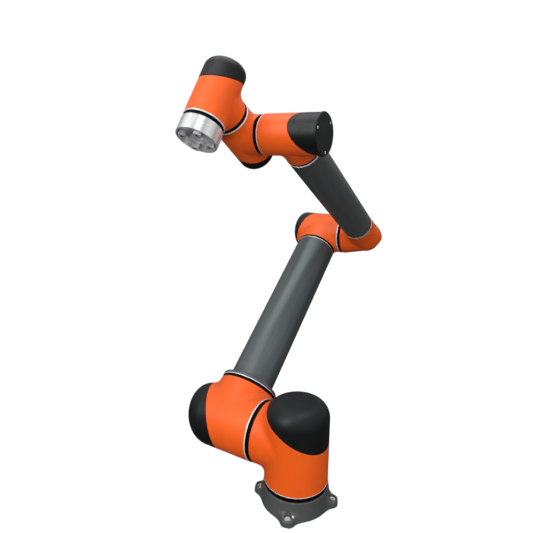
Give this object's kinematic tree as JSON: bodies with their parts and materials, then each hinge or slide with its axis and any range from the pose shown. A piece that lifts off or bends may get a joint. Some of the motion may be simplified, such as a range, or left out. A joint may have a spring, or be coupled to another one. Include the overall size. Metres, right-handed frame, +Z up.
{
  "type": "collaborative robot arm",
  "caption": "Six-axis collaborative robot arm with offset joint modules, round covers, two arm tubes and a flanged tool end; every joint turns.",
  "frame": {"origin": "centre of the base's mounting face", "axes": "+Z up along the base joint, X and Y along the sides of the square of mounting bolts"},
  "size_m": [0.5238, 0.6277, 0.8968],
  "materials": {
    "painted_casting": "satin orange powder coat over cast aluminium",
    "black_cover": "satin black moulded cover",
    "cast_base": "dark grey painted casting",
    "upper_arm_tube": "grey anodised tube",
    "forearm_tube": "dark grey anodised tube, matte",
    "seal_rubber": "black lip seal",
    "trim_aluminium": "bright turned ring",
    "tool_aluminium": "turned aluminium",
    "fastener_steel": "zinc plated",
    "drive_steel": "ground steel",
    "motor_windings": "varnished copper windings",
    "circuit_board": "green circuit board"
  },
  "bodies": {
    "base": {"base_flange": "cast_base", "base_bolts": "fastener_steel", "base_seal_ring": "seal_rubber", "base_output_flange": "drive_steel"},
    "shoulder": {"shoulder_housing": "painted_casting", "shoulder_cap": "black_cover", "shoulder_trim_ring": "trim_aluminium", "shoulder_seal_ring": "seal_rubber", "shoulder_stator": "motor_windings", "shoulder_gear_ring": "drive_steel", "shoulder_driver_board": "circuit_board", "shoulder_output_flange": "drive_steel"},
    "upper_arm": {"upper_arm_housing": "painted_casting", "upper_arm_cap": "black_cover", "upper_arm_collar": "upper_arm_tube", "upper_arm_tube": "upper_arm_tube", "elbow_drive_housing": "painted_casting", "elbow_drive_cap": "black_cover", "upper_arm_seal_rings": "seal_rubber", "upper_arm_trim_rings": "trim_aluminium", "upper_arm_stators": "motor_windings", "upper_arm_gear_rings": "drive_steel", "upper_arm_driver_boards": "circuit_board"},
    "forearm": {"elbow_housing": "painted_casting", "forearm_tube": "forearm_tube", "wrist_1_housing": "painted_casting", "wrist_1_cap": "black_cover", "wrist_1_cap_screws": "fastener_steel", "forearm_seal_rings": "seal_rubber", "forearm_trim_rings": "trim_aluminium", "forearm_output_flange": "drive_steel", "wrist_1_stator": "motor_windings", "wrist_1_gear_ring": "drive_steel", "wrist_1_driver_board": "circuit_board"},
    "wrist_2": {"wrist_2_housing": "painted_casting", "wrist_2_cap": "black_cover", "wrist_2_trim_ring": "trim_aluminium", "wrist_2_seal_ring": "seal_rubber", "wrist_2_output_flange": "drive_steel", "wrist_2_stator": "motor_windings", "wrist_2_gear_ring": "drive_steel", "wrist_2_driver_board": "circuit_board"},
    "wrist_3": {"wrist_3_housing": "painted_casting", "wrist_3_cap": "black_cover", "wrist_3_trim_ring": "trim_aluminium", "wrist_3_seal_ring": "seal_rubber", "wrist_3_output_flange": "drive_steel", "wrist_3_stator": "motor_windings", "wrist_3_gear_ring": "drive_steel", "wrist_3_driver_board": "circuit_board"},
    "tool": {"tool_flange": "tool_aluminium", "tool_seal_ring": "seal_rubber", "tool_output_flange": "drive_steel"},
    "base_motor": {"base_rotor": "drive_steel"},
    "shoulder_motor": {"shoulder_rotor": "drive_steel"},
    "elbow_motor": {"elbow_rotor": "drive_steel"},
    "wrist_1_motor": {"wrist_1_rotor": "drive_steel"},
    "wrist_2_motor": {"wrist_2_rotor": "drive_steel"},
    "wrist_3_motor": {"wrist_3_rotor": "drive_steel"}
  },
  "joints": [
    {"name": "base_turn", "type": "hinge", "parent": "base", "child": "shoulder", "pos_m": [0, 0, 0], "axis": [0, 0, 1], "range_deg": [-175, 175]},
    {"name": "shoulder_lift", "type": "hinge", "parent": "shoulder", "child": "upper_arm", "pos_m": [0, 0, 0.1325], "axis": [-0.8704, -0.4924, 0], "range_deg": [-228, 122]},
    {"name": "elbow_bend", "type": "hinge", "parent": "upper_arm", "child": "forearm", "pos_m": [-0.36766, 0.32695, 0.48336], "axis": [-0.8704, -0.4924, 0], "range_deg": [-38, 262]},
    {"name": "wrist_1_bend", "type": "hinge", "parent": "forearm", "child": "wrist_2", "pos_m": [-0.04489, 0.00827, 0.74551], "axis": [-0.8704, -0.4924, 0], "range_deg": [-178.5, 171.5]},
    {"name": "wrist_2_turn", "type": "hinge", "parent": "wrist_2", "child": "wrist_3", "pos_m": [-0.13802, -0.04442, 0.74551], "axis": [0.4058, -0.7173, 0.5664], "range_deg": [-175, 175]},
    {"name": "wrist_3_spin", "type": "hinge", "parent": "wrist_3", "child": "tool", "pos_m": [-0.09419, -0.12188, 0.80668], "axis": [0.2407, -0.514, -0.8233], "range_deg": [-175, 175]},
    {"name": "base_motor_spin", "type": "hinge", "parent": "shoulder", "child": "base_motor", "pos_m": [0, 0, 0], "axis": [0, 0, 1], "continuous": true},
    {"name": "shoulder_motor_spin", "type": "hinge", "parent": "upper_arm", "child": "shoulder_motor", "pos_m": [0, 0, 0.1325], "axis": [-0.8704, -0.4924, 0], "continuous": true},
    {"name": "elbow_motor_spin", "type": "hinge", "parent": "upper_arm", "child": "elbow_motor", "pos_m": [-0.36766, 0.32695, 0.48336], "axis": [-0.8704, -0.4924, 0], "continuous": true},
    {"name": "wrist_1_motor_spin", "type": "hinge", "parent": "forearm", "child": "wrist_1_motor", "pos_m": [-0.04489, 0.00827, 0.74551], "axis": [-0.8704, -0.4924, 0], "continuous": true},
    {"name": "wrist_2_motor_spin", "type": "hinge", "parent": "wrist_2", "child": "wrist_2_motor", "pos_m": [-0.13802, -0.04442, 0.74551], "axis": [0.4058, -0.7173, 0.5664], "continuous": true},
    {"name": "wrist_3_motor_spin", "type": "hinge", "parent": "wrist_3", "child": "wrist_3_motor", "pos_m": [-0.09419, -0.12188, 0.80668], "axis": [0.2407, -0.514, -0.8233], "continuous": true}
  ],
  "couplings": [
    {"joint": "base_motor_spin", "follows": "base_turn", "ratio": 100},
    {"joint": "shoulder_motor_spin", "follows": "shoulder_lift", "ratio": 100},
    {"joint": "elbow_motor_spin", "follows": "elbow_bend", "ratio": -100},
    {"joint": "wrist_1_motor_spin", "follows": "wrist_1_bend", "ratio": -100},
    {"joint": "wrist_2_motor_spin", "follows": "wrist_2_turn", "ratio": -100},
    {"joint": "wrist_3_motor_spin", "follows": "wrist_3_spin", "ratio": -100}
  ]
}
